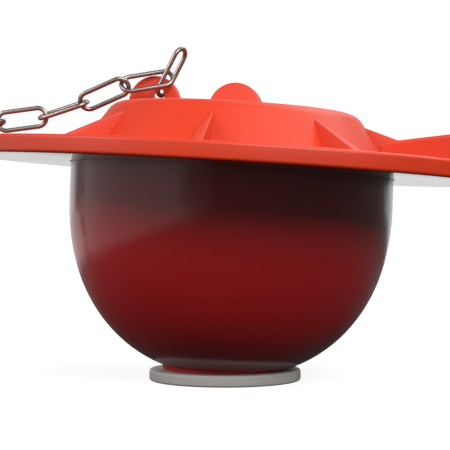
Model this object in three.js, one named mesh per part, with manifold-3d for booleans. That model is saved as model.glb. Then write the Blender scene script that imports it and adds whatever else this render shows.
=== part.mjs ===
// A toilet flapper: a moulded top with its sealing flange, a hollow bowl, a base disc and a lift chain.
// Millimetres, +Z up. The origin is the middle of the base disc's underside, on the surface it stands on.
// The hinge arms point along +X and the chain leaves along -X. The bowl leans over the level disc, and the
// top, heavier on the side of its arms, leans a little more.

import * as THREE from 'three';
import { ConvexGeometry } from 'three/addons/geometries/ConvexGeometry.js';
import { mergeVertices } from 'three/addons/utils/BufferGeometryUtils.js';
import Module from 'manifold-3d';

const wasm = await Module();
wasm.setup();

// Overall
const leanDegrees = 2.1;
const sagDegrees = 1.3;
const leanAsideDegrees = 10;
const seatGap = 0.3;
const bite = 0.5;

// Bowl
const bowlRadius = 30.1;
const bowlWall = 1.8;
const bowlRoundHeight = 32.5;
const bowlSink = 1.45;
const bowlStraightHeight = 5.9;
const bowlFullness = 2.2;
const neckRadius = 11.7;
const neckWall = 2;
const rimDepth = 1.9;

// Base disc
const discRadius = 14.15;
const discThickness = 2.1;
const discEdge = 0.45;
const plugWall = 2;
const barbReach = 1;
const barbHeight = 2.2;
const drainRadius = 2.4;
const drainAside = 4.6;

// Flange and dome
const flangeRadius = 49.7;
const flangeThickness = 3.1;
const flangeEdge = 0.6;
const domeHeight = 8.5;
const domeShoulderRadius = 22.7;
const domeFootRadius = 28.5;
const domeCrown = 0.4;
const shoulderFillet = 3.4;
const footFillet = 3;
const domeWall = 2.4;
const seatLedge = 1.6;

// Ribs
const ribCount = 8;
const ribInnerRadius = 24.2;
const ribOuterRadius = 37.6;
const ribTopDrop = 2.3;
const ribTopThickness = 0.9;
const ribFootThickness = 1.9;
const backRibExtra = 6;

// Lugs
const lugRadius = 4.9;
const chainLugTopThickness = 1;
const chainLugFootThickness = 1.8;
const plainLugTopThickness = 2.2;
const plainLugFootThickness = 5;
const lugSpacing = 15.6;
const chainLugRise = 0.65;
const chainHoleRadius = 1.3;
const chainHoleAside = 0.9;
const chainHoleHeight = 1.95;

// Hinge arms
const armSpacing = 38;
const armThickness = 4;
const armStart = 28.9;
const armStartHeight = 2.5;
const armSlope = 0.17;
const armOverhangDepth = 5;
const pivotReach = 72;
const pivotHeight = 6.6;
const earRadius = 6;
const earThickness = 5;
const earHoleRadius = 2.75;

// Chain
const linkLength = 10.6;
const linkWidth = 4.4;
const linkWire = 0.88;
const linkSlack = 0.35;
const firstLinkTilt = 27.5;
const firstLinkTwist = 18;
const secondLinkAhead = 2.08;
const secondLinkAside = -1.27;
const secondLinkRise = 3.2;
const rimClearance = 2.2;
const flatFall = 5;
const rimFall = 24;
const overhangReach = 0.35;
const overhangRise = 0.3;
const hangingCount = 2;
const hookWire = 1.2;
const hookEyeRadius = 2.2;
const hookEyeStart = -100;
const hookShank = 10;
const hookBendRadius = 3;
const hookTip = 4;
const hookFlare = 0.6;
const hookTurnStep = 20;
const hookSteps = 44;

// The links that lie on the dome and the flange after the first, by fall, aside and twist in degrees
const lyingLinks = [
  [9.8, 15, 36],
  [23.1, 2, -32],
  [16.4, -4, -107],
  [6.7, 0, -180],
];

const degrees = Math.PI / 180;
const roundSides = 64;
const smallSides = 24;

const material = {
  rubber: () => new THREE.MeshStandardMaterial({ color: '#e8401f', roughness: 0.45, metalness: 0 }),
  bowl: () => new THREE.MeshStandardMaterial({ color: '#6e1013', roughness: 0.25, metalness: 0 }),
  disc: () => new THREE.MeshStandardMaterial({ color: '#b4b2ae', roughness: 0.5, metalness: 0 }),
  steel: () => new THREE.MeshStandardMaterial({ color: '#9a938c', roughness: 0.3, metalness: 1 }),
};

const part = new THREE.Group();

function solid(geometry) {
  const bare = geometry.clone();
  bare.deleteAttribute('normal');
  bare.deleteAttribute('uv');
  const merged = mergeVertices(bare, 1e-4);
  return new wasm.Manifold(new wasm.Mesh({
    numProp: 3,
    vertProperties: Float32Array.from(merged.attributes.position.array),
    triVerts: Uint32Array.from(merged.index.array),
  }));
}

function geometryOf(manifold) {
  const { vertProperties, triVerts } = manifold.getMesh();
  const geometry = new THREE.BufferGeometry();
  geometry.setAttribute('position', new THREE.BufferAttribute(vertProperties, 3));
  geometry.setIndex(new THREE.BufferAttribute(triVerts, 1));
  geometry.computeVertexNormals();
  return geometry;
}

function add(parent, name, geometry, finish) {
  const mesh = new THREE.Mesh(geometry, finish);
  mesh.name = name;
  parent.add(mesh);
  return mesh;
}

// A closed outline of [radius, height] points, turned about the upright axis.
function turned(outline, sides = roundSides) {
  const points = outline.map(([radius, height]) => new THREE.Vector2(radius, height));
  const geometry = new THREE.LatheGeometry([...points, points[0]], sides);
  geometry.rotateX(Math.PI / 2);
  return geometry;
}

// The corners [radius, height, fillet] of an outline, with an arc of that fillet at each corner that has one.
function filleted(corners, steps = 5) {
  return corners.flatMap(([x, y, fillet], i) => {
    if (!fillet) return [[x, y]];
    const corner = new THREE.Vector2(x, y);
    const before = new THREE.Vector2(...corners[i - 1].slice(0, 2)).sub(corner).normalize();
    const after = new THREE.Vector2(...corners[i + 1].slice(0, 2)).sub(corner).normalize();
    const half = Math.acos(before.dot(after)) / 2;
    const centre = before.clone().add(after).normalize().multiplyScalar(fillet / Math.sin(half)).add(corner);
    const from = before.clone().multiplyScalar(fillet / Math.tan(half)).add(corner).sub(centre);
    const to = after.clone().multiplyScalar(fillet / Math.tan(half)).add(corner).sub(centre);
    const sweep = Math.atan2(from.cross(to), from.dot(to));
    return Array.from({ length: steps + 1 }, (_, k) => {
      const spot = from.clone().rotateAround(new THREE.Vector2(), sweep * k / steps).add(centre);
      return [spot.x, spot.y];
    });
  });
}

// A flat shape in X and Z, made solid from y - thickness / 2 to y + thickness / 2.
function plate(shape, y, thickness, steps = 12) {
  const geometry = new THREE.ExtrudeGeometry(shape, { depth: thickness, bevelEnabled: false, curveSegments: steps });
  geometry.rotateX(Math.PI / 2);
  geometry.translate(0, y + thickness / 2, 0);
  return geometry;
}

// A round bar along Y.
function bar(x, y, z, radius, length, sides = smallSides) {
  const geometry = new THREE.CylinderGeometry(radius, radius, length, sides);
  geometry.translate(x, y, z);
  return geometry;
}

// Base disc with the hollow plug that snaps into the bowl's neck
const boreRadius = neckRadius - neckWall;
const plugRadius = boreRadius - seatGap;

// The bowl leans over the level disc about the middle of the disc's top face, a little aside from the arms.
// The top leans further about the middle of the bowl's mouth.
const leanAxis = new THREE.Vector3(0, 1, 0).applyAxisAngle(new THREE.Vector3(0, 0, 1), leanAsideDegrees * degrees);
const leaning = new THREE.Group();
leaning.position.z = discThickness;
leaning.quaternion.setFromAxisAngle(leanAxis, leanDegrees * degrees);
part.add(leaning);
const sagging = new THREE.Group();
sagging.quaternion.setFromAxisAngle(leanAxis, sagDegrees * degrees);
leaning.add(sagging);

// The bowl's outline at one height above the disc, a full, slightly squared curve; inset moves it inwards.
const bowlCentre = bowlRoundHeight - bowlSink;

function bowlRadiusAt(height, inset) {
  const share = Math.min(1, Math.max(0, (bowlCentre - height) / (bowlRoundHeight - inset)));
  return (bowlRadius - inset) * (1 - share ** bowlFullness) ** (1 / bowlFullness);
}

function bowlHeightAt(radius, inset) {
  const share = (1 - (radius / (bowlRadius - inset)) ** bowlFullness) ** (1 / bowlFullness);
  return bowlCentre - share * (bowlRoundHeight - inset);
}

function bowlCurve(startRadius, inset, steps) {
  const low = bowlHeightAt(startRadius, inset);
  return Array.from({ length: steps + 1 }, (_, k) => {
    const height = bowlCentre - (bowlCentre - low) * Math.cos(k / steps * Math.PI / 2);
    return [bowlRadiusAt(height, inset), height];
  });
}

const flangeBottom = bowlCentre + bowlStraightHeight;
const flangeTop = flangeBottom + flangeThickness;
const domeTop = flangeTop + domeHeight;
const seatTop = flangeBottom + rimDepth;
const bowlTop = seatTop - seatGap;
sagging.position.z = flangeBottom;
sagging.updateMatrix();

const neckDip = neckRadius * Math.sin(leanDegrees * degrees);
const barbUnder = discThickness + bowlHeightAt(boreRadius + barbReach, bowlWall) + neckDip + seatGap;

const discOutline = filleted([
  [0, 0],
  [discRadius, 0, discEdge],
  [discRadius, discThickness, discEdge],
  [plugRadius, discThickness],
  [plugRadius, barbUnder],
  [plugRadius + barbReach, barbUnder],
  [plugRadius, barbUnder + barbHeight],
  [plugRadius - plugWall, barbUnder + barbHeight],
  [plugRadius - plugWall, discThickness],
  [0, discThickness],
], 3);
const drain = new THREE.CylinderGeometry(drainRadius, drainRadius, 4 * discThickness, smallSides);
drain.rotateX(Math.PI / 2);
drain.translate(drainAside, 0, 0);
add(part, 'base_disc', geometryOf(solid(turned(discOutline)).subtract(solid(drain))), material.disc());

// Bowl
const bowlOutline = [
  [boreRadius, -discThickness],
  [neckRadius, -discThickness],
  ...bowlCurve(neckRadius, 0, 14),
  [bowlRadius, domeTop],
  [bowlRadius - bowlWall, domeTop],
  ...bowlCurve(boreRadius, bowlWall, 12).reverse(),
];
const sweptSpace = 4 * bowlRadius;
const levelled = new THREE.Matrix4().makeRotationAxis(leanAxis, -leanDegrees * degrees);
const underDisc = new THREE.BoxGeometry(sweptSpace, sweptSpace, sweptSpace);
underDisc.translate(0, 0, seatGap - sweptSpace / 2);
underDisc.applyMatrix4(levelled);
const plugSpace = new THREE.CylinderGeometry(boreRadius, boreRadius, sweptSpace, roundSides);
plugSpace.rotateX(Math.PI / 2);
plugSpace.applyMatrix4(levelled);
const plugCut = solid(plugSpace).intersect(solid(turned([[0, -sweptSpace], [neckRadius, -sweptSpace],
  [neckRadius, bowlHeightAt(neckRadius, bowlWall)], [0, bowlHeightAt(neckRadius, bowlWall)]])));
const overSeat = new THREE.BoxGeometry(sweptSpace, sweptSpace, sweptSpace);
overSeat.translate(0, 0, bowlTop - flangeBottom + sweptSpace / 2);
overSeat.applyMatrix4(sagging.matrix);
const bowl = solid(turned(bowlOutline)).subtract(solid(underDisc)).subtract(solid(overSeat)).subtract(plugCut);
add(leaning, 'bowl', geometryOf(bowl), material.bowl());

// Flange and dome, one moulding with the ribs, lugs and hinge arms
const topOutline = filleted([
  [0, flangeBottom],
  [flangeRadius, flangeBottom, flangeEdge],
  [flangeRadius, flangeTop, flangeEdge],
  [domeFootRadius, flangeTop, footFillet],
  [domeShoulderRadius, domeTop, shoulderFillet],
  [0, domeTop + domeCrown],
]);
const hollowOutline = [
  [0, flangeBottom - bite],
  [bowlRadius + seatGap, flangeBottom - bite],
  [bowlRadius + seatGap, seatTop],
  [bowlRadius - bowlWall - seatLedge, seatTop],
  [bowlRadius - bowlWall - seatLedge, flangeTop],
  [domeShoulderRadius - domeWall, domeTop - domeWall],
  [0, domeTop - domeWall],
];

// One radial gusset rib, thin at its top on the dome and wide at its foot on the flange.
function rib(angle, reachOut) {
  const corners = [
    [ribInnerRadius - bite, domeTop - ribTopDrop, ribTopThickness],
    [ribInnerRadius, domeTop - ribTopDrop, ribTopThickness],
    [ribOuterRadius + reachOut, flangeTop, ribFootThickness],
    [ribOuterRadius + reachOut, flangeTop - bite, ribFootThickness],
    [ribInnerRadius - bite, flangeTop - bite, ribFootThickness],
  ];
  const points = corners.flatMap(([x, z, width]) => [-1, 1].map((side) => new THREE.Vector3(x, side * width / 2, z)));
  const geometry = new ConvexGeometry(points);
  geometry.rotateZ(angle);
  return geometry;
}

// A half-round lug that stands on the dome, thinner towards its top.
function lug(x, rise, footThickness, topThickness) {
  const points = [];
  const foot = domeTop - bite;
  const centre = domeTop + rise;
  const spot = (dx, z) => {
    const share = (z - foot) / (centre + lugRadius - foot);
    const width = THREE.MathUtils.lerp(footThickness, topThickness, share);
    [-1, 1].forEach((side) => points.push(new THREE.Vector3(x + dx, side * width / 2, z)));
  };
  for (let k = 0; k <= smallSides; k += 2) {
    const angle = k / smallSides * Math.PI;
    spot(Math.cos(angle) * lugRadius, centre + Math.sin(angle) * lugRadius);
  }
  spot(-lugRadius, foot);
  spot(lugRadius, foot);
  return new ConvexGeometry(points);
}

const chainLugX = -lugSpacing;
const chainHole = new THREE.Vector3(chainLugX + chainHoleAside, 0, domeTop + chainHoleHeight);
const pivotZ = flangeTop + pivotHeight;

// One hinge arm, with the ear at its end.
function armOutline() {
  const armTop = (x) => flangeTop + armStartHeight + (x - armStart) * armSlope;
  const overhang = Math.sqrt(flangeRadius ** 2 - (armSpacing / 2) ** 2);
  const shape = new THREE.Shape();
  shape.moveTo(armStart, flangeTop - bite);
  shape.lineTo(overhang, flangeTop - armOverhangDepth / 2);
  shape.lineTo(pivotReach - earRadius / 2, pivotZ - armOverhangDepth / 2);
  shape.lineTo(pivotReach, pivotZ - armOverhangDepth / 2);
  shape.lineTo(pivotReach, Math.min(armTop(pivotReach), pivotZ + armOverhangDepth / 2));
  shape.lineTo(pivotReach - earRadius, Math.min(armTop(pivotReach - earRadius), pivotZ + earRadius / 2));
  shape.lineTo(armStart, armTop(armStart));
  return shape;
}

let top = solid(turned(topOutline));
for (let k = 0; k < ribCount; k += 1) {
  top = top.add(solid(rib(k / ribCount * 2 * Math.PI, k === 0 ? backRibExtra : 0)));
}
top = top.add(solid(lug(0, 0, plainLugFootThickness, plainLugTopThickness)));
top = top.add(solid(lug(chainLugX, chainLugRise, chainLugFootThickness, chainLugTopThickness)));
for (const side of [-1, 1]) {
  const y = side * armSpacing / 2;
  top = top.add(solid(plate(armOutline(), y, armThickness)));
  top = top.add(solid(bar(pivotReach, y, pivotZ, earRadius, earThickness)));
  top = top.subtract(solid(bar(pivotReach, y, pivotZ, earHoleRadius, 2 * earThickness)));
}
top = top.subtract(solid(turned(hollowOutline)));
top = top.subtract(solid(bar(chainHole.x, 0, chainHole.z, chainHoleRadius, 2 * chainLugFootThickness)));
const topMesh = add(sagging, 'flapper_top', geometryOf(top), material.rubber());
topMesh.position.z = -flangeBottom;

// The oval centre line of one link, in the link's own X and Z, with its middle at the origin.
class Oval extends THREE.Curve {
  getPoint(t, target = new THREE.Vector3()) {
    const bend = (linkWidth - linkWire) / 2;
    const straight = linkLength - linkWidth;
    const around = 2 * straight + 2 * Math.PI * bend;
    const quarter = straight / around;
    const turn = 0.5 - quarter;
    const side = t < 0.5 ? 1 : -1;
    const along = t < 0.5 ? t : t - 0.5;
    if (along <= quarter) {
      return target.set(side * (along * around - straight / 2), 0, -side * bend);
    }
    const angle = (along - quarter) / turn * Math.PI - Math.PI / 2;
    return target.set(side * (straight / 2 + bend * Math.cos(angle)), 0, side * bend * Math.sin(angle));
  }
}

const linkGeometry = new THREE.TubeGeometry(new Oval(), 24, linkWire / 2, 8, true);

// Places a link so that its middle lies this far from a start. Its length points to -X, then down by a fall,
// aside about the upright axis and twisted about itself. Returns its direction.
function placeLink(name, start, middle, fall, aside, twist) {
  const mesh = add(part, name, linkGeometry.clone(), material.steel());
  mesh.rotation.set(twist * degrees, Math.PI - fall * degrees, aside * degrees, 'ZYX');
  const direction = new THREE.Vector3(1, 0, 0).applyEuler(mesh.rotation);
  mesh.position.copy(start).addScaledVector(direction, middle);
  return direction;
}

part.updateMatrixWorld(true);
const holeSpot = chainHole.clone().applyMatrix4(topMesh.matrixWorld);
const pitch = linkLength - 2 * linkWire - linkSlack;
placeLink('chain_link_01', holeSpot, (linkLength - linkWire) / 2, -90 - firstLinkTilt, 0, 90 - firstLinkTwist);

// The other links go on from knot to knot. Each turns a quarter from the one before it once the chain lies flat.
const knot = holeSpot.clone().add(new THREE.Vector3(secondLinkAhead, secondLinkAside, secondLinkRise));
let linkNumber = 1;

function nextLink(fall, aside, twist) {
  linkNumber += 1;
  const name = `chain_link_${String(linkNumber).padStart(2, '0')}`;
  knot.addScaledVector(placeLink(name, knot, pitch / 2, fall, aside, twist), pitch);
}

let lastTwist = 0;
for (const [fall, aside, twist] of lyingLinks) {
  nextLink(fall, aside, twist);
  lastTwist = twist;
}

function nextQuarter(fall) {
  lastTwist -= 90;
  nextLink(fall, 0, lastTwist);
}

// Flat links are added until the next one clears the flange's rim. It slopes over the rim and the last ones hang.
const rim = new THREE.Vector3(-flangeRadius, 0, flangeTop).applyMatrix4(topMesh.matrixWorld).x;
while (knot.x - pitch * Math.cos(rimFall * degrees) > rim - rimClearance) nextQuarter(flatFall);
nextQuarter(rimFall);
knot.x -= overhangReach;
knot.z += overhangRise;
for (let k = 0; k < hangingCount; k += 1) nextQuarter(90);

// The wire hook for the flush lever hangs in the last link by its eye.
function hookGeometry() {
  const arc = (middle, radius, from, to) => {
    const count = Math.round((to - from) / hookTurnStep);
    return Array.from({ length: count + 1 }, (_, k) => {
      const turn = (from + (to - from) * k / count) * degrees;
      return new THREE.Vector3(Math.cos(turn), 0, Math.sin(turn)).multiplyScalar(radius).add(middle);
    });
  };
  const bendMiddle = new THREE.Vector3(hookBendRadius - hookEyeRadius, 0, -hookShank);
  const points = [
    ...arc(new THREE.Vector3(), hookEyeRadius, hookEyeStart, 180),
    new THREE.Vector3(-hookEyeRadius, 0, -hookShank / 2),
    ...arc(bendMiddle, hookBendRadius, 180, 360),
    new THREE.Vector3(hookBendRadius + hookFlare, 0, hookTip).add(bendMiddle),
  ];
  const path = new THREE.CatmullRomCurve3(points, false, 'centripetal');
  const round = new THREE.Shape().absarc(0, 0, hookWire / 2, 0, 2 * Math.PI);
  return new THREE.ExtrudeGeometry(round, { steps: hookSteps, extrudePath: path, curveSegments: 4 });
}

const crownDrop = (linkSlack + linkWire) / 2;
const hookDrop = hookEyeRadius - linkSlack - (linkWire + hookWire) / 2;
const hook = add(part, 'lever_hook', hookGeometry(), material.steel());
hook.position.set(knot.x, knot.y, knot.z - crownDrop - hookDrop);

export default part;
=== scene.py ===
import math

import bmesh
import bpy
from mathutils import Euler, Matrix, Vector


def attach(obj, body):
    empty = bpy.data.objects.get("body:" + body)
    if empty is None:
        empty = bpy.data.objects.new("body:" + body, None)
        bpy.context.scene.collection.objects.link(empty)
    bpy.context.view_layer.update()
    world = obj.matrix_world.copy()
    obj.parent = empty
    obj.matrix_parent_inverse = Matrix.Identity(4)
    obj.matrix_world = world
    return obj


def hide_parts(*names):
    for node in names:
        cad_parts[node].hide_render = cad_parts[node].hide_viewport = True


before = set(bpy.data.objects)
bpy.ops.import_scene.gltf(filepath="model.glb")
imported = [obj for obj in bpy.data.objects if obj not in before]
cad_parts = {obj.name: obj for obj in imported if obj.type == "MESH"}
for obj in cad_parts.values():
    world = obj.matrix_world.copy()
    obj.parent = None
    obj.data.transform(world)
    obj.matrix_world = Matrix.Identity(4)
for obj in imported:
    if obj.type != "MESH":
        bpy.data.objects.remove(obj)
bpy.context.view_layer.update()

# Sizes, in millimetres. They are the solids' sizes, with a smaller hole for the chain. The rounded rims and
# fillets of the ribs, lugs, arms and ears are only here.
MM = 0.001
LEAN = math.radians(2.1)
SAG = math.radians(1.3)
LEAN_ASIDE = math.radians(10)
SEAT_GAP = 0.3
SUNK = 0.02

BOWL_RADIUS = 30.1
BOWL_WALL = 1.8
BOWL_ROUND_HEIGHT = 32.5
BOWL_SINK = 1.45
BOWL_STRAIGHT_HEIGHT = 5.9
BOWL_FULLNESS = 2.2
BOWL_STEPS = 64
BOWL_INSIDE_STEPS = 40
NECK_RADIUS = 11.7
NECK_WALL = 2
RIM_DEPTH = 1.9

DISC_RADIUS = 14.15
DISC_THICKNESS = 2.1
DISC_EDGE = 0.45
PLUG_WALL = 2
BARB_REACH = 1
BARB_HEIGHT = 2.2
DRAIN_RADIUS = 2.4
DRAIN_ASIDE = 4.6

FLANGE_RADIUS = 49.7
FLANGE_THICKNESS = 3.1
FLANGE_EDGE = 0.6
SEALING_TILT = math.radians(5)
DOME_HEIGHT = 8.5
DOME_SHOULDER_RADIUS = 22.7
DOME_FOOT_RADIUS = 28.5
DOME_CROWN = 0.4
SHOULDER_FILLET = 3.4
FOOT_FILLET = 3
DOME_WALL = 2.4
SEAT_LEDGE = 1.6

RIB_COUNT = 8
RIB_INNER_RADIUS = 24.2
RIB_OUTER_RADIUS = 37.6
RIB_TOP_DROP = 2.3
RIB_TOP_THICKNESS = 0.9
RIB_FOOT_THICKNESS = 1.9
RIB_FLARE = 0.5
RIB_EDGE = 0.22
RIB_RUN_OUT = 1
RIB_THINNEST = 0.01
RIB_STATIONS = 24
RIB_FLARE_STEPS = 5
RIB_EDGE_STEPS = 3
BACK_RIB_EXTRA = 6
BITE = 0.5

LUG_RADIUS = 4.9
CHAIN_LUG_TOP_THICKNESS = 1
CHAIN_LUG_FOOT_THICKNESS = 1.8
PLAIN_LUG_TOP_THICKNESS = 2.2
PLAIN_LUG_FOOT_THICKNESS = 5
LUG_EDGE = 0.35
LUG_STEPS = 32
LUG_SPACING = 15.6
CHAIN_LUG_RISE = 0.65
CHAIN_HOLE_RADIUS = 1.1
CHAIN_HOLE_ASIDE = 0.9
CHAIN_HOLE_HEIGHT = 1.95

ARM_SPACING = 38
ARM_THICKNESS = 4
ARM_EDGE = 0.5
ARM_START = 28.9
ARM_START_HEIGHT = 2.5
ARM_SLOPE = 0.17
ARM_OVERHANG_DEPTH = 5
ARM_START_FILLET = 0.8
ARM_UNDER_FILLET = 2
PIVOT_REACH = 72
PIVOT_HEIGHT = 6.6
EAR_RADIUS = 6
EAR_THICKNESS = 5
EAR_EDGE = 0.45
EAR_HOLE_RADIUS = 2.75

LINK_LENGTH = 10.6
LINK_WIDTH = 4.4
LINK_WIRE = 0.88
LINK_SLACK = 0.35
FIRST_LINK = (-90 - 27.5, 0, 90 - 18)
SECOND_LINK_OFFSET = Vector((2.08, -1.27, 3.2))
OVERHANG_OFFSET = Vector((-0.35, 0, 0.3))
FIRST_HANGING = 5

# The links after the first, by fall, aside and twist in degrees. Each one's twist is most of a quarter turn
# on from the one before, and the last three go over the flange's rim.
CHAIN_RUN = [
    (9.8, 15, 36),
    (23.1, 2, -32),
    (16.4, -4, -107),
    (6.7, 0, -180),
    (24, 0, -270),
    (90, 0, -360),
    (90, 0, -450),
]

HOOK_WIRE = 1.2
HOOK_EYE_RADIUS = 2.2
HOOK_SHANK = 10
HOOK_BEND_RADIUS = 3
HOOK_TIP = 4
HOOK_FLARE = 0.6
HOOK_EYE_START = -100
HOOK_STEP = 10

ROUND_SIDES = 256
SMALL_SIDES = 96
LINK_STEPS = 64
LINK_WIRE_SIDES = 20
SMOOTH_ANGLE = math.radians(32)

BOWL_CENTRE = BOWL_ROUND_HEIGHT - BOWL_SINK
FLANGE_BOTTOM = BOWL_CENTRE + BOWL_STRAIGHT_HEIGHT
FLANGE_TOP = FLANGE_BOTTOM + FLANGE_THICKNESS
DOME_TOP = FLANGE_TOP + DOME_HEIGHT
SEAT_TOP = FLANGE_BOTTOM + RIM_DEPTH
BOWL_TOP = SEAT_TOP - SEAT_GAP
SWEPT_SPACE = 4 * BOWL_RADIUS
BORE_RADIUS = NECK_RADIUS - NECK_WALL
PLUG_RADIUS = BORE_RADIUS - SEAT_GAP
PIVOT_Z = FLANGE_TOP + PIVOT_HEIGHT
CHAIN_HOLE = Vector((CHAIN_HOLE_ASIDE - LUG_SPACING, 0, DOME_TOP + CHAIN_HOLE_HEIGHT))

# The bowl leans over the level disc about the middle of the disc's top face. The top leans a little more,
# about the middle of the bowl's mouth.
LEAN_AXIS = Vector((-math.sin(LEAN_ASIDE), math.cos(LEAN_ASIDE), 0))
LEANING = Matrix.Translation((0, 0, DISC_THICKNESS)) @ Matrix.Rotation(LEAN, 4, LEAN_AXIS)
MOUTH = Matrix.Translation((0, 0, FLANGE_BOTTOM))
SAGGING = LEANING @ MOUTH @ Matrix.Rotation(SAG, 4, LEAN_AXIS) @ MOUTH.inverted()


# Meshes

def piece(name, bm, place=Matrix.Identity(4)):
    """Makes an object in metres from a bmesh in millimetres, with its place in its mesh."""
    bmesh.ops.transform(bm, matrix=Matrix.Scale(MM, 4) @ place, verts=bm.verts)
    mesh = bpy.data.meshes.new(name)
    bm.to_mesh(mesh)
    bm.free()
    made = bpy.data.objects.new(name, mesh)
    bpy.context.scene.collection.objects.link(made)
    soften(made)
    return made


def soften(made):
    """Shades a piece smooth, with hard edges where its faces turn sharply."""
    made.data.shade_smooth()
    made.data.set_sharp_from_angle(angle=SMOOTH_ANGLE)


def settle(made):
    """Turns a piece with its modifiers into a plain mesh."""
    evaluated = made.evaluated_get(bpy.context.evaluated_depsgraph_get())
    mesh = bpy.data.meshes.new_from_object(evaluated)
    made.modifiers.clear()
    made.data = mesh
    soften(made)


def arc(corners, steps=8):
    """The corners (x, y, fillet) of an outline, with an arc at each corner that has a fillet."""
    points = []
    for i, (x, y, *fillet) in enumerate(corners):
        if not fillet:
            points.append((x, y))
            continue
        corner = Vector((x, y))
        before = (Vector(corners[i - 1][:2]) - corner).normalized()
        after = (Vector(corners[(i + 1) % len(corners)][:2]) - corner).normalized()
        half = before.angle(after) / 2
        centre = corner + (before + after).normalized() * (fillet[0] / math.sin(half))
        start = corner + before * (fillet[0] / math.tan(half)) - centre
        end = corner + after * (fillet[0] / math.tan(half)) - centre
        sweep = -start.angle_signed(end)
        for k in range(steps + 1):
            spot = Matrix.Rotation(sweep * k / steps, 2) @ start + centre
            points.append((spot.x, spot.y))
    return points


def lathe(outline, sides=ROUND_SIDES):
    """A closed outline of (radius, height) points turned about the upright axis."""
    bm = bmesh.new()
    ring = [bm.verts.new((radius, 0, height)) for radius, height in outline]
    edges = [bm.edges.new((a, b)) for a, b in zip(ring, ring[1:] + ring[:1])
             if not (a.co.x == 0 and b.co.x == 0)]
    bmesh.ops.spin(bm, geom=ring + edges, cent=(0, 0, 0), axis=(0, 0, 1), angle=2 * math.pi,
                   steps=sides, use_merge=True)
    bmesh.ops.remove_doubles(bm, verts=bm.verts, dist=1e-4)
    bmesh.ops.recalc_face_normals(bm, faces=bm.faces)
    return bm


def plate(outline, y, thickness, edge):
    """A flat outline in X and Z made solid about y, with the rims of its two faces rounded."""
    bm = bmesh.new()
    front = bm.faces.new([bm.verts.new((x, y - thickness / 2, z)) for x, z in outline])
    grown = bmesh.ops.extrude_face_region(bm, geom=[front])["geom"]
    back = [v for v in grown if isinstance(v, bmesh.types.BMVert)]
    bmesh.ops.translate(bm, vec=(0, thickness, 0), verts=back)
    bmesh.ops.recalc_face_normals(bm, faces=bm.faces)
    rims = [e for e in bm.edges if abs(e.verts[0].co.y - e.verts[1].co.y) < thickness / 2]
    bmesh.ops.bevel(bm, geom=rims, offset=edge, segments=4, profile=0.5, affect="EDGES")
    return bm


def bar(radius, length):
    """A round bar along Y, about the origin."""
    half = length / 2
    bm = lathe([(0, -half), (radius, -half), (radius, half), (0, half)], SMALL_SIDES)
    bmesh.ops.rotate(bm, matrix=Matrix.Rotation(math.radians(90), 3, "X"), verts=bm.verts)
    return bm


def combine(base, others, operation):
    """Joins the others to a piece, or cuts them out of it, and removes them."""
    for other in others:
        step = base.modifiers.new(other.name, "BOOLEAN")
        step.operation = operation
        step.solver = "MANIFOLD"
        step.object = other
    settle(base)
    for other in others:
        bpy.data.objects.remove(other)


# Materials

def rgb(text):
    """An sRGB hex value as the linear colour that a socket takes."""
    values = [int(text[i:i + 2], 16) / 255 for i in (1, 3, 5)]
    linear = [v / 12.92 if v <= 0.04045 else ((v + 0.055) / 1.055) ** 2.4 for v in values]
    return (*linear, 1)


def add(tree, kind, inputs=None, **settings):
    """Adds one node, with its settings, and its inputs as values or as the sockets that feed them."""
    made = tree.nodes.new(kind)
    for name, value in settings.items():
        setattr(made, name, value)
    for key, value in (inputs or {}).items():
        if isinstance(value, bpy.types.NodeSocket):
            tree.links.new(value, made.inputs[key])
        else:
            made.inputs[key].default_value = value
    return made


def new_material(name):
    """An empty material, with its tree and its place to end in."""
    material = bpy.data.materials.new(name)
    material.use_nodes = True
    material.node_tree.nodes.clear()
    return material, material.node_tree, material.node_tree.nodes.new("ShaderNodeOutputMaterial")


def mottle(tree, place, scale, detail, dark, light):
    """A cloudy noise, and the colour that it gives between two near tones."""
    noise = add(tree, "ShaderNodeTexNoise", {"Vector": place, "Scale": scale, "Detail": detail})
    cloud = noise.outputs["Fac"]
    colour = add(tree, "ShaderNodeMix", {"Factor": cloud, "A": rgb(dark), "B": rgb(light)}, data_type="RGBA")
    return cloud, colour.outputs["Result"]


def grain(tree, place, scale, detail, strength, depth):
    """The surface direction of a noisy skin, with its depth in metres."""
    noise = add(tree, "ShaderNodeTexNoise", {"Vector": place, "Scale": scale, "Detail": detail})
    bump = add(tree, "ShaderNodeBump",
               {"Height": noise.outputs["Fac"], "Strength": strength, "Distance": depth})
    return bump.outputs["Normal"]


def spread(tree, value, low, high):
    """A value from 0 to 1 spread from low to high."""
    return add(tree, "ShaderNodeMapRange", {"Value": value, "To Min": low, "To Max": high}).outputs["Result"]


def moulded_orange_rubber():
    """Compression-moulded rubber: an even, strong orange red with a satin skin and a faint grain."""
    material, tree, output = new_material("moulded_orange_rubber")
    place = add(tree, "ShaderNodeTexCoord").outputs["Object"]
    cloud, colour = mottle(tree, place, 60, 3, "#c92f0b", "#d2370e")
    shader = add(tree, "ShaderNodeBsdfPrincipled", {
        "Base Color": colour, "Roughness": spread(tree, cloud, 0.42, 0.52),
        "Normal": grain(tree, place, 2200, 4, 0.25, 0.00006), "IOR": 1.5})
    tree.links.new(shader.outputs["BSDF"], output.inputs["Surface"])
    return material


def pressed_sealing_face():
    """The same rubber where it was pressed against a polished plate: smooth enough to mirror a low light."""
    material, tree, output = new_material("pressed_sealing_face")
    place = add(tree, "ShaderNodeTexCoord").outputs["Object"]
    cloud, colour = mottle(tree, place, 60, 3, "#c93410", "#d33c14")
    shader = add(tree, "ShaderNodeBsdfPrincipled", {
        "Base Color": colour, "Roughness": spread(tree, cloud, 0.1, 0.15), "IOR": 1.5})
    tree.links.new(shader.outputs["BSDF"], output.inputs["Surface"])
    return material


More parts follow.
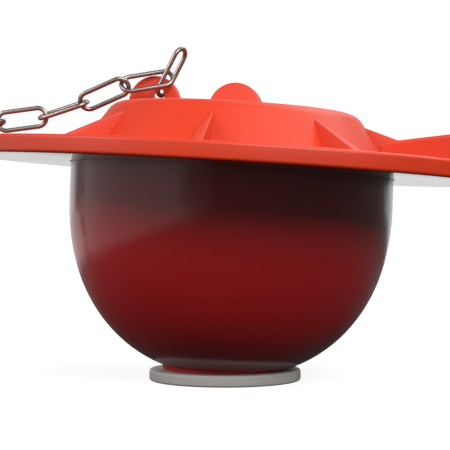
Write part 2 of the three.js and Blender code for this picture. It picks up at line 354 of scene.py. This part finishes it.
def glossy_crimson_rubber():
    """Dipped and cured rubber: deep crimson, with a wet gloss over a slightly uneven skin."""
    material, tree, output = new_material("glossy_crimson_rubber")
    place = add(tree, "ShaderNodeTexCoord").outputs["Object"]
    cloud, colour = mottle(tree, place, 45, 4, "#9e1619", "#ac191c")
    shader = add(tree, "ShaderNodeBsdfPrincipled", {
        "Base Color": colour, "Roughness": spread(tree, cloud, 0.15, 0.22),
        "Normal": grain(tree, place, 160, 2, 0.3, 0.0003), "IOR": 1.5})
    tree.links.new(shader.outputs["BSDF"], output.inputs["Surface"])
    return material


def moulded_grey_plastic():
    """Injection-moulded polypropylene: pale warm grey, matt, with a fine eroded texture."""
    material, tree, output = new_material("moulded_grey_plastic")
    place = add(tree, "ShaderNodeTexCoord").outputs["Object"]
    colour = mottle(tree, place, 90, 3, "#a6a29e", "#b6b2ae")[1]
    shader = add(tree, "ShaderNodeBsdfPrincipled", {
        "Base Color": colour, "Roughness": 0.48,
        "Normal": grain(tree, place, 1800, 3, 0.3, 0.00005), "IOR": 1.49})
    tree.links.new(shader.outputs["BSDF"], output.inputs["Surface"])
    return material


def drawn_steel_wire():
    """Drawn steel wire: bright, with fine scratches and a brownish film between them."""
    material, tree, output = new_material("drawn_steel_wire")
    place = add(tree, "ShaderNodeTexCoord").outputs["Object"]
    film, colour = mottle(tree, place, 260, 3, "#80736d", "#a89f9a")
    shader = add(tree, "ShaderNodeBsdfPrincipled", {
        "Base Color": colour, "Metallic": 1, "Roughness": spread(tree, film, 0.42, 0.3),
        "Normal": grain(tree, place, 2500, 3, 0.15, 0.00003)})
    tree.links.new(shader.outputs["BSDF"], output.inputs["Surface"])
    return material


# The moulded top

def make_rib(reach_out):
    """One gusset rib: its crest widens towards its foot, and its flanks flare out into the flange."""
    end = RIB_OUTER_RADIUS + reach_out
    sunk_start = RIB_INNER_RADIUS - 2 * BITE
    top_start = DOME_TOP - RIB_TOP_DROP
    base = FLANGE_TOP - SUNK
    foot_half = RIB_FOOT_THICKNESS / 2
    bm = bmesh.new()
    rings = []
    for k in range(RIB_STATIONS + 1):
        share = k / RIB_STATIONS
        radius = sunk_start + (end + RIB_RUN_OUT - sunk_start) * share
        along = max(0, (radius - RIB_INNER_RADIUS) / (end - RIB_INNER_RADIUS))
        crest = top_start + (base - top_start) * along
        height = max(crest - base, RIB_THINNEST * (1 - share / 2))
        flare = min(RIB_FLARE, height / 2)
        edge = min(RIB_EDGE, height / 2)
        widening = (RIB_FOOT_THICKNESS - RIB_TOP_THICKNESS) * min(1, along)
        crest_half = (RIB_TOP_THICKNESS + widening) / 2
        side = [(foot_half + flare, base - BITE)]
        for step in range(RIB_FLARE_STEPS + 1):
            turn = step / RIB_FLARE_STEPS * math.pi / 2
            side.append((foot_half + flare * (1 - math.sin(turn)), base + flare * (1 - math.cos(turn))))
        for step in range(RIB_EDGE_STEPS + 1):
            turn = step / RIB_EDGE_STEPS * math.pi / 2
            drop = edge * (1 - math.sin(turn))
            side.append((crest_half - edge * (1 - math.cos(turn)), base + height - drop))
        section = side + [(-y, z) for y, z in reversed(side)]
        rings.append([bm.verts.new((radius, y, z)) for y, z in section])
    for a, b in zip(rings, rings[1:]):
        for i in range(len(a)):
            j = (i + 1) % len(a)
            bm.faces.new((a[i], a[j], b[j], b[i]))
    bm.faces.new(rings[0])
    bm.faces.new(rings[-1])
    bmesh.ops.recalc_face_normals(bm, faces=bm.faces)
    return piece("rib", bm)


def rib_ring_tree(rubber):
    """Repeats one rib about the upright axis, with a first turn and an equal step between them."""
    tree = bpy.data.node_groups.new("rib_ring", "GeometryNodeTree")
    sockets = tree.interface
    sockets.new_socket("Geometry", in_out="INPUT", socket_type="NodeSocketGeometry")
    sockets.new_socket("Geometry", in_out="OUTPUT", socket_type="NodeSocketGeometry")
    for name, kind, value in (
        ("Ribs", "NodeSocketInt", RIB_COUNT),
        ("First turn", "NodeSocketFloat", 0),
        ("Step", "NodeSocketFloat", 2 * math.pi / RIB_COUNT),
        ("Rubber", "NodeSocketMaterial", rubber),
    ):
        sockets.new_socket(name, in_out="INPUT", socket_type=kind).default_value = value
    given = tree.nodes.new("NodeGroupInput").outputs
    output = tree.nodes.new("NodeGroupOutput")
    spots = add(tree, "GeometryNodePoints", {"Count": given["Ribs"]})
    number = add(tree, "GeometryNodeInputIndex")
    turn = add(tree, "ShaderNodeMath", {0: number.outputs[0], 1: given["Step"], 2: given["First turn"]},
               operation="MULTIPLY_ADD")
    angles = add(tree, "ShaderNodeCombineXYZ", {"Z": turn.outputs[0]})
    turned = add(tree, "FunctionNodeEulerToRotation", {0: angles.outputs[0]})
    ring = add(tree, "GeometryNodeInstanceOnPoints", {
        "Points": spots.outputs[0], "Instance": given["Geometry"], "Rotation": turned.outputs[0]})
    real = add(tree, "GeometryNodeRealizeInstances", {"Geometry": ring.outputs["Instances"]})
    shaded = add(tree, "GeometryNodeSetMaterial",
                 {"Geometry": real.outputs["Geometry"], "Material": given["Rubber"]})
    tree.links.new(shaded.outputs["Geometry"], output.inputs["Geometry"])
    return tree


def make_ribs(tree, count, first, reach_out):
    """Some of the ribs in one mesh, in their place on the dome."""
    ribs = make_rib(reach_out)
    ring = ribs.modifiers.new("rib_ring", "NODES")
    ring.node_group = tree
    items = tree.interface.items_tree
    sockets = {item.name: item.identifier for item in items if item.in_out == "INPUT"}
    ring[sockets["Ribs"]] = count
    ring[sockets["First turn"]] = first * 2 * math.pi / RIB_COUNT
    settle(ribs)
    ribs.data.transform(Matrix.Scale(MM, 4) @ SAGGING @ Matrix.Scale(1 / MM, 4))
    return ribs


def make_lug(x, rise, foot_thickness, top_thickness):
    """A half-round lug with rounded rims, thinner towards its top."""
    foot = DOME_TOP - BITE
    centre = DOME_TOP + rise
    outline = [(x + LUG_RADIUS, foot)]
    for k in range(LUG_STEPS + 1):
        turn = k / LUG_STEPS * math.pi
        outline.append((x + math.cos(turn) * LUG_RADIUS, centre + math.sin(turn) * LUG_RADIUS))
    outline.append((x - LUG_RADIUS, foot))
    bm = plate(outline, 0, foot_thickness, LUG_EDGE)
    for vert in bm.verts:
        share = (vert.co.z - foot) / (centre + LUG_RADIUS - foot)
        vert.co.y *= 1 + share * (top_thickness / foot_thickness - 1)
    return piece("lug", bm, SAGGING)


def make_arm(side):
    """One hinge arm and the ear at its end."""
    def arm_top(x):
        return FLANGE_TOP + ARM_START_HEIGHT + (x - ARM_START) * ARM_SLOPE
    overhang = math.sqrt(FLANGE_RADIUS ** 2 - (ARM_SPACING / 2) ** 2)
    half_depth = ARM_OVERHANG_DEPTH / 2
    ear_side = PIVOT_REACH - EAR_RADIUS
    outline = arc([
        (ARM_START, FLANGE_TOP - BITE),
        (overhang, FLANGE_TOP - half_depth, ARM_UNDER_FILLET),
        (PIVOT_REACH - EAR_RADIUS / 2, PIVOT_Z - half_depth),
        (PIVOT_REACH, PIVOT_Z - half_depth),
        (PIVOT_REACH, min(arm_top(PIVOT_REACH), PIVOT_Z + half_depth)),
        (ear_side, min(arm_top(ear_side), PIVOT_Z + EAR_RADIUS / 2)),
        (ARM_START, arm_top(ARM_START), ARM_START_FILLET),
    ])
    y = side * ARM_SPACING / 2
    arm = piece("arm", plate(outline, y, ARM_THICKNESS, ARM_EDGE), SAGGING)
    hub = SAGGING @ Matrix.Translation((PIVOT_REACH, y, PIVOT_Z))
    half = EAR_THICKNESS / 2
    profile = arc([(0, -half), (EAR_RADIUS, -half, EAR_EDGE), (EAR_RADIUS, half, EAR_EDGE), (0, half)])
    disc = lathe(profile, SMALL_SIDES)
    bmesh.ops.rotate(disc, matrix=Matrix.Rotation(math.radians(90), 3, "X"), verts=disc.verts)
    ear = piece("ear", disc, hub)
    bore = piece("bore", bar(EAR_HOLE_RADIUS, 2 * EAR_THICKNESS), hub)
    return arm, ear, bore


def make_top():
    """The flange and dome in one turned outline, with the ribs, lugs and arms joined to it."""
    outline = arc([
        (0, DOME_TOP + DOME_CROWN),
        (DOME_SHOULDER_RADIUS, DOME_TOP, SHOULDER_FILLET),
        (DOME_FOOT_RADIUS, FLANGE_TOP, FOOT_FILLET),
        (FLANGE_RADIUS, FLANGE_TOP, FLANGE_EDGE),
        (FLANGE_RADIUS, FLANGE_BOTTOM, FLANGE_EDGE),
        (BOWL_RADIUS + SEAT_GAP, FLANGE_BOTTOM),
        (BOWL_RADIUS + SEAT_GAP, SEAT_TOP),
        (BOWL_RADIUS - BOWL_WALL - SEAT_LEDGE, SEAT_TOP),
        (BOWL_RADIUS - BOWL_WALL - SEAT_LEDGE, FLANGE_TOP),
        (DOME_SHOULDER_RADIUS - DOME_WALL, DOME_TOP - DOME_WALL),
        (0, DOME_TOP - DOME_WALL),
    ], steps=10)
    top = piece("moulded_top", lathe(outline), SAGGING)
    rubber = moulded_orange_rubber()
    tree = rib_ring_tree(rubber)
    ribs = [make_ribs(tree, 1, 0, BACK_RIB_EXTRA), make_ribs(tree, RIB_COUNT - 1, 1, 0)]
    lugs = [make_lug(0, 0, PLAIN_LUG_FOOT_THICKNESS, PLAIN_LUG_TOP_THICKNESS),
            make_lug(-LUG_SPACING, CHAIN_LUG_RISE, CHAIN_LUG_FOOT_THICKNESS, CHAIN_LUG_TOP_THICKNESS)]
    arms = [make_arm(side) for side in (-1, 1)]
    combine(top, ribs + lugs + [part for arm, ear, bore in arms for part in (arm, ear)], "UNION")
    drill = bar(CHAIN_HOLE_RADIUS, 3 * CHAIN_LUG_FOOT_THICKNESS)
    hole = piece("hole", drill, SAGGING @ Matrix.Translation(CHAIN_HOLE))
    combine(top, [hole] + [bore for arm, ear, bore in arms], "DIFFERENCE")
    top.data.materials.clear()
    top.data.materials.append(rubber)
    top.data.materials.append(pressed_sealing_face())
    down = SAGGING.to_3x3() @ Vector((0, 0, -1))
    for face in top.data.polygons:
        height = (SAGGING.inverted() @ (face.center / MM)).z
        sealing = height < FLANGE_BOTTOM + SUNK and face.normal.dot(down) > math.cos(SEALING_TILT)
        face.material_index = 1 if sealing else 0
    return top


# The bowl

def bowl_radius(height, inset):
    """The bowl's radius at a height, or its inside's with the wall as the inset."""
    share = min(1, max(0, (BOWL_CENTRE - height) / (BOWL_ROUND_HEIGHT - inset)))
    return (BOWL_RADIUS - inset) * (1 - share ** BOWL_FULLNESS) ** (1 / BOWL_FULLNESS)


def bowl_height(radius, inset):
    """The height of the bowl's underside at a radius."""
    share = (1 - (radius / (BOWL_RADIUS - inset)) ** BOWL_FULLNESS) ** (1 / BOWL_FULLNESS)
    return BOWL_CENTRE - share * (BOWL_ROUND_HEIGHT - inset)


def bowl_curve(start_radius, inset, steps):
    """The bowl's outline from a radius near its neck up to its full width."""
    low = bowl_height(start_radius, inset)
    turns = [k / steps * math.pi / 2 for k in range(steps + 1)]
    heights = [BOWL_CENTRE - (BOWL_CENTRE - low) * math.cos(turn) for turn in turns]
    return [(bowl_radius(height, inset), height) for height in heights]


def make_bowl():
    """The bowl and its neck, cut level over the disc and parallel to the top's seat."""
    outline = [
        (BORE_RADIUS, -DISC_THICKNESS),
        (NECK_RADIUS, -DISC_THICKNESS),
        *bowl_curve(NECK_RADIUS, 0, BOWL_STEPS),
        (BOWL_RADIUS, DOME_TOP),
        (BOWL_RADIUS - BOWL_WALL, DOME_TOP),
        *reversed(bowl_curve(BORE_RADIUS, BOWL_WALL, BOWL_INSIDE_STEPS)),
    ]
    bowl = piece("bowl_shell", lathe(outline), LEANING)
    foot = Matrix.Translation((0, 0, DISC_THICKNESS + SEAT_GAP / 3 - SWEPT_SPACE / 2))
    mouth = SAGGING @ Matrix.Translation((0, 0, BOWL_TOP + SWEPT_SPACE / 2))
    cuts = []
    for name, place in (("under_disc", foot), ("over_seat", mouth)):
        block = bmesh.new()
        bmesh.ops.create_cube(block, size=SWEPT_SPACE)
        cuts.append(piece(name, block, place))
    combine(bowl, cuts, "DIFFERENCE")
    bowl.data.materials.clear()
    bowl.data.materials.append(glossy_crimson_rubber())
    return bowl


# The base disc

def make_disc():
    """The disc and its hollow barbed plug, with one drain hole."""
    neck_dip = NECK_RADIUS * math.sin(LEAN)
    barb_under = DISC_THICKNESS + bowl_height(BORE_RADIUS + BARB_REACH, BOWL_WALL) + neck_dip + SEAT_GAP
    outline = arc([
        (0, 0),
        (DISC_RADIUS, 0, DISC_EDGE),
        (DISC_RADIUS, DISC_THICKNESS, DISC_EDGE),
        (PLUG_RADIUS, DISC_THICKNESS),
        (PLUG_RADIUS, barb_under),
        (PLUG_RADIUS + BARB_REACH, barb_under),
        (PLUG_RADIUS, barb_under + BARB_HEIGHT),
        (PLUG_RADIUS - PLUG_WALL, barb_under + BARB_HEIGHT),
        (PLUG_RADIUS - PLUG_WALL, DISC_THICKNESS),
        (0, DISC_THICKNESS),
    ], steps=6)
    disc = piece("grey_disc", lathe(outline))
    low, high = -DISC_THICKNESS, 2 * DISC_THICKNESS
    drain = lathe([(0, low), (DRAIN_RADIUS, low), (DRAIN_RADIUS, high), (0, high)], SMALL_SIDES)
    combine(disc, [piece("drain", drain, Matrix.Translation((DRAIN_ASIDE, 0, 0)))], "DIFFERENCE")
    disc.data.materials.clear()
    disc.data.materials.append(moulded_grey_plastic())
    return disc


# The chain

def link_tree():
    """A link: a circle pulled apart along X into an oval, with a round wire along it."""
    tree = bpy.data.node_groups.new("oval_link", "GeometryNodeTree")
    sockets = tree.interface
    sockets.new_socket("Geometry", in_out="OUTPUT", socket_type="NodeSocketGeometry")
    for name, value in (("Length", LINK_LENGTH), ("Width", LINK_WIDTH), ("Wire", LINK_WIRE)):
        sockets.new_socket(name, in_out="INPUT", socket_type="NodeSocketFloat").default_value = value * MM
    steel = sockets.new_socket("Steel", in_out="INPUT", socket_type="NodeSocketMaterial")
    steel.default_value = drawn_steel_wire()
    given = tree.nodes.new("NodeGroupInput").outputs
    output = tree.nodes.new("NodeGroupOutput")
    across = add(tree, "ShaderNodeMath", {0: given["Width"], 1: given["Wire"]}, operation="SUBTRACT")
    bend = add(tree, "ShaderNodeMath", {0: across.outputs[0], 1: 0.5}, operation="MULTIPLY")
    straight = add(tree, "ShaderNodeMath", {0: given["Length"], 1: given["Width"]}, operation="SUBTRACT")
    half = add(tree, "ShaderNodeMath", {0: straight.outputs[0], 1: 0.5}, operation="MULTIPLY")
    circle = add(tree, "GeometryNodeCurvePrimitiveCircle",
                 {"Resolution": LINK_STEPS, "Radius": bend.outputs[0]})
    where = add(tree, "GeometryNodeInputPosition")
    parts = add(tree, "ShaderNodeSeparateXYZ", {0: where.outputs[0]})
    side = add(tree, "ShaderNodeMath", {0: parts.outputs["X"]}, operation="SIGN")
    shift = add(tree, "ShaderNodeMath", {0: side.outputs[0], 1: half.outputs[0]}, operation="MULTIPLY")
    offset = add(tree, "ShaderNodeCombineXYZ", {"X": shift.outputs[0]})
    oval = add(tree, "GeometryNodeSetPosition",
               {"Geometry": circle.outputs["Curve"], "Offset": offset.outputs[0]})
    thin = add(tree, "ShaderNodeMath", {0: given["Wire"], 1: 0.5}, operation="MULTIPLY")
    wire = add(tree, "GeometryNodeCurvePrimitiveCircle",
               {"Resolution": LINK_WIRE_SIDES, "Radius": thin.outputs[0]})
    swept = add(tree, "GeometryNodeCurveToMesh",
                {"Curve": oval.outputs["Geometry"], "Profile Curve": wire.outputs["Curve"]})
    shaded = add(tree, "GeometryNodeSetMaterial",
                 {"Geometry": swept.outputs["Mesh"], "Material": given["Steel"]})
    real = add(tree, "GeometryNodeRealizeInstances", {"Geometry": shaded.outputs["Geometry"]})
    tree.links.new(real.outputs["Geometry"], output.inputs["Geometry"])
    return tree


def make_link(name, tree, start, middle, fall, aside, twist):
    """One link, with its middle at a distance from a start, and the direction that it takes."""
    link = bpy.data.objects.new(name, bpy.data.meshes.new(name))
    bpy.context.scene.collection.objects.link(link)
    link.modifiers.new("oval_link", "NODES").node_group = tree
    settle(link)
    turns = (math.radians(twist), math.pi - math.radians(fall), math.radians(aside))
    facing = Euler(turns, "XYZ").to_matrix()
    direction = facing @ Vector((1, 0, 0))
    lying = Matrix.Rotation(math.radians(90), 4, "X")
    link.data.transform(Matrix.Translation((start + direction * middle) * MM) @ facing.to_4x4() @ lying)
    return link, direction


def make_chain():
    """The links in order, and the point that the hook hangs at."""
    tree = link_tree()
    hole = SAGGING @ CHAIN_HOLE
    pitch = LINK_LENGTH - 2 * LINK_WIRE - LINK_SLACK
    links = [make_link("steel_link_01", tree, hole, (LINK_LENGTH - LINK_WIRE) / 2, *FIRST_LINK)[0]]
    knot = hole + SECOND_LINK_OFFSET
    for i, (fall, aside, twist) in enumerate(CHAIN_RUN):
        if i == FIRST_HANGING:
            knot = knot + OVERHANG_OFFSET
        link, direction = make_link(f"steel_link_{i + 2:02d}", tree, knot, pitch / 2, fall, aside, twist)
        links.append(link)
        knot = knot + direction * pitch
    return links, knot


def ring_points(x, z, radius, start, end):
    """Points along part of a ring, from one angle to another in degrees."""
    turns = [math.radians(turn) for turn in range(start, end + 1, HOOK_STEP)]
    return [(x + math.cos(turn) * radius, z + math.sin(turn) * radius) for turn in turns]


def make_hook(knot):
    """The wire hook for the flush lever: an eye, a straight shank and an open bend."""
    points = ring_points(0, 0, HOOK_EYE_RADIUS, HOOK_EYE_START, 180)
    points.append((-HOOK_EYE_RADIUS, -HOOK_SHANK / 2))
    bend_x = HOOK_BEND_RADIUS - HOOK_EYE_RADIUS
    points += ring_points(bend_x, -HOOK_SHANK, HOOK_BEND_RADIUS, 180, 360)
    points.append((bend_x + HOOK_BEND_RADIUS + HOOK_FLARE, HOOK_TIP - HOOK_SHANK))
    last_crown = knot.z - (LINK_SLACK + LINK_WIRE) / 2
    eye_centre = last_crown + (LINK_WIRE + HOOK_WIRE) / 2 + LINK_SLACK - HOOK_EYE_RADIUS
    curve = bpy.data.curves.new("hook_line", "CURVE")
    curve.dimensions = "3D"
    curve.bevel_depth = HOOK_WIRE / 2 * MM
    curve.bevel_resolution = 6
    curve.use_fill_caps = True
    line = curve.splines.new("NURBS")
    line.points.add(len(points) - 1)
    for spot, (x, z) in zip(line.points, points):
        spot.co = ((knot.x + x) * MM, knot.y * MM, (eye_centre + z) * MM, 1)
    line.order_u = 4
    line.use_endpoint_u = True
    line.resolution_u = 4
    made = bpy.data.objects.new("wire_hook", curve)
    bpy.context.scene.collection.objects.link(made)
    mesh = bpy.data.meshes.new_from_object(made.evaluated_get(bpy.context.evaluated_depsgraph_get()))
    bpy.data.objects.remove(made)
    hook = bpy.data.objects.new("wire_hook", mesh)
    bpy.context.scene.collection.objects.link(hook)
    soften(hook)
    hook.data.materials.clear()
    hook.data.materials.append(bpy.data.materials["drawn_steel_wire"])
    return hook


# Stage, light and camera

# The room's own level, and its walls by azimuth, half their width in degrees and level
ROOM_LIGHT = 0.17
FRONT_WALL = 0.15
LEFT_WALL = 0.78
RIGHT_WALL = 0.23
WALL_BLUR = 4
WALL_FOOT = -0.34
WALL_FOOT_BLUR = 0.1
WALLS = (
    (-73, 50, LEFT_WALL),
    (117, 28, RIGHT_WALL),
    (190, 36, 1),
)

# Azimuth and elevation in degrees, width and height in metres, and strength
SOFTBOXES = {
    "right_softbox": (38, 38, 0.7, 0.6, 1.16),
    "left_softbox": (-50, 30, 0.5, 0.3, 0.42),
    "back_softbox": (140, 48, 0.7, 0.5, 0.4),
}
SOFTBOX_DISTANCE = 0.9
SOFTBOX_AIM = Vector((0, 0, 0.03))

FLOOR_SIZE = 4000
FLOOR_TONE = "#a0a0a0"
FLOOR_TONE_TO_LIGHT = "#202020"

CAMERA_AZIMUTH = math.radians(10)
CAMERA_DISTANCE = 0.281
CAMERA_HEIGHT = 0.0306
CAMERA_LENS = 120
CAMERA_SENSOR = 36
CAMERA_SHIFT_Y = -0.02


def white_floor():
    """White board under the object. To the eye it is white round the object's shadow. To the light it is dim,
    and a reflection finds it pale on the left and white behind, as the walls above it are."""
    material, tree, output = new_material("white_floor")
    place = add(tree, "ShaderNodeTexCoord").outputs["Object"]
    spot = add(tree, "ShaderNodeSeparateXYZ", {0: place}).outputs
    away = add(tree, "ShaderNodeVectorMath", {0: place}, operation="LENGTH")
    glow = add(tree, "ShaderNodeMapRange", {
        "Value": away.outputs["Value"], "From Min": 0.05, "From Max": 0.3, "To Min": 0.8, "To Max": 1})
    aside = add(tree, "ShaderNodeMath", {0: spot["X"]}, operation="ABSOLUTE")
    back = add(tree, "ShaderNodeMath", {0: aside.outputs[0], 1: -1.3, 2: spot["Y"]}, operation="MULTIPLY_ADD")
    far = add(tree, "ShaderNodeMapRange", {
        "Value": back.outputs[0], "From Min": 0.12, "From Max": 0.3, "To Min": FRONT_WALL, "To Max": 1})
    left = add(tree, "ShaderNodeMapRange", {
        "Value": spot["X"], "From Min": -0.09, "From Max": -0.15, "To Max": LEFT_WALL})
    pale = add(tree, "ShaderNodeMath", {0: far.outputs["Result"], 1: left.outputs["Result"]},
               operation="MAXIMUM")
    # Painted shade: close round the object, a reflection finds the floor's glow dimmed to 0.3, rising to full
    # 10 cm away, in place of the object's shadow on it.
    painted_shade_under_object = add(tree, "ShaderNodeMapRange", {
        "Value": away.outputs["Value"], "From Min": 0.03, "From Max": 0.1, "To Min": 0.3})
    walls = add(tree, "ShaderNodeMath", {0: pale.outputs[0], 1: painted_shade_under_object.outputs["Result"]},
                operation="MULTIPLY")
    path = add(tree, "ShaderNodeLightPath").outputs
    bounced = add(tree, "ShaderNodeMath", {0: path["Is Glossy Ray"], 1: path["Is Transmission Ray"]},
                  operation="MAXIMUM")
    mirrored = add(tree, "ShaderNodeMath", {0: bounced.outputs[0], 1: walls.outputs[0]}, operation="MULTIPLY")
    shine = add(tree, "ShaderNodeMath",
                {0: path["Is Camera Ray"], 1: glow.outputs["Result"], 2: mirrored.outputs[0]},
                operation="MULTIPLY_ADD")
    tint = add(tree, "ShaderNodeMix",
               {"Factor": path["Is Camera Ray"], "A": rgb(FLOOR_TONE_TO_LIGHT), "B": rgb(FLOOR_TONE)},
               data_type="RGBA")
    board = add(tree, "ShaderNodeBsdfDiffuse", {"Color": tint.outputs["Result"]})
    glowing = add(tree, "ShaderNodeEmission", {"Strength": shine.outputs[0]})
    lit = add(tree, "ShaderNodeAddShader", {0: board.outputs[0], 1: glowing.outputs[0]})
    tree.links.new(lit.outputs[0], output.inputs["Surface"])
    return material


def make_stage():
    """The board that the flapper stands on."""
    bm = bmesh.new()
    bmesh.ops.create_grid(bm, x_segments=1, y_segments=1, size=FLOOR_SIZE)
    floor = piece("floor", bm)
    floor.data.materials.append(white_floor())


def make_light(name, azimuth, elevation, width, height, strength):
    """A softbox that faces the object. At a strength of 1 it shows a surface in its own colour."""
    data = bpy.data.lights.new(name, "AREA")
    data.shape = "RECTANGLE"
    data.size = width
    data.size_y = height
    data.energy = strength * math.pi ** 2 * SOFTBOX_DISTANCE ** 2
    lamp = bpy.data.objects.new(name, data)
    bpy.context.scene.collection.objects.link(lamp)
    turn, rise = math.radians(azimuth), math.radians(elevation)
    back = Vector((math.sin(turn) * math.cos(rise), -math.cos(turn) * math.cos(rise), math.sin(rise)))
    lamp.location = SOFTBOX_AIM + back * SOFTBOX_DISTANCE
    lamp.rotation_euler = (-back).to_track_quat("-Z", "Y").to_euler()


def make_world():
    """A dim room with a white wall behind, a pale one on the left and a grey one on the right. To the eye
    it is white all round."""
    world = bpy.data.worlds.new("studio")
    bpy.context.scene.world = world
    world.use_nodes = True
    tree = world.node_tree
    tree.nodes.clear()
    facing = add(tree, "ShaderNodeTexCoord").outputs["Generated"]
    height = add(tree, "ShaderNodeSeparateXYZ", {0: facing}).outputs["Z"]
    above = add(tree, "ShaderNodeMapRange",
                {"Value": height, "From Min": WALL_FOOT, "From Max": WALL_FOOT + WALL_FOOT_BLUR})
    level = ROOM_LIGHT
    for azimuth, half_angle, wall_level in WALLS:
        turn = math.radians(azimuth)
        aim = add(tree, "ShaderNodeVectorMath", {0: facing, 1: (math.sin(turn), -math.cos(turn), 0)},
                  operation="DOT_PRODUCT")
        wall = add(tree, "ShaderNodeMapRange", {
            "Value": aim.outputs["Value"], "To Max": wall_level - ROOM_LIGHT,
            "From Min": math.cos(math.radians(half_angle + WALL_BLUR)),
            "From Max": math.cos(math.radians(half_angle - WALL_BLUR))})
        cut = add(tree, "ShaderNodeMath", {0: wall.outputs["Result"], 1: above.outputs["Result"]},
                  operation="MULTIPLY")
        level = add(tree, "ShaderNodeMath", {0: cut.outputs[0], 1: level}, operation="ADD").outputs[0]
    path = add(tree, "ShaderNodeLightPath").outputs
    seen = add(tree, "ShaderNodeMath", {0: path["Is Camera Ray"], 1: path["Is Transmission Ray"]},
               operation="MAXIMUM")
    room = add(tree, "ShaderNodeBackground", {"Color": (1, 1, 1, 1), "Strength": level})
    white = add(tree, "ShaderNodeBackground", {"Color": (1, 1, 1, 1), "Strength": 1})
    mixed = add(tree, "ShaderNodeMixShader", {0: seen.outputs[0], 1: room.outputs[0], 2: white.outputs[0]})
    add(tree, "ShaderNodeOutputWorld", {"Surface": mixed.outputs[0]})


def make_camera():
    """A long lens at the height of the bowl, that looks level at the flapper from a little to its right."""
    data = bpy.data.cameras.new("camera")
    data.lens = CAMERA_LENS
    data.sensor_width = CAMERA_SENSOR
    data.shift_y = CAMERA_SHIFT_Y
    data.clip_start = 0.01
    camera = bpy.data.objects.new("camera", data)
    bpy.context.scene.collection.objects.link(camera)
    x = math.sin(CAMERA_AZIMUTH) * CAMERA_DISTANCE
    y = -math.cos(CAMERA_AZIMUTH) * CAMERA_DISTANCE
    camera.location = (x, y, CAMERA_HEIGHT)
    camera.rotation_euler = (math.radians(90), 0, CAMERA_AZIMUTH)
    bpy.context.scene.camera = camera


bpy.context.scene.view_settings.view_transform = "Standard"
make_camera()
make_stage()
make_world()
for name, placing in SOFTBOXES.items():
    make_light(name, *placing)

top = make_top()
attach(top, "flapper")
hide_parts("flapper_top")

bowl = make_bowl()
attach(bowl, "flapper")
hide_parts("bowl")

disc = make_disc()
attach(disc, "flapper")
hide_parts("base_disc")

links, hook_knot = make_chain()
for number, link in enumerate(links, 1):
    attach(link, f"link_{number:02d}")
    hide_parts(f"chain_link_{number:02d}")

hook = make_hook(hook_knot)
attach(hook, "hook")
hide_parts("lever_hook")
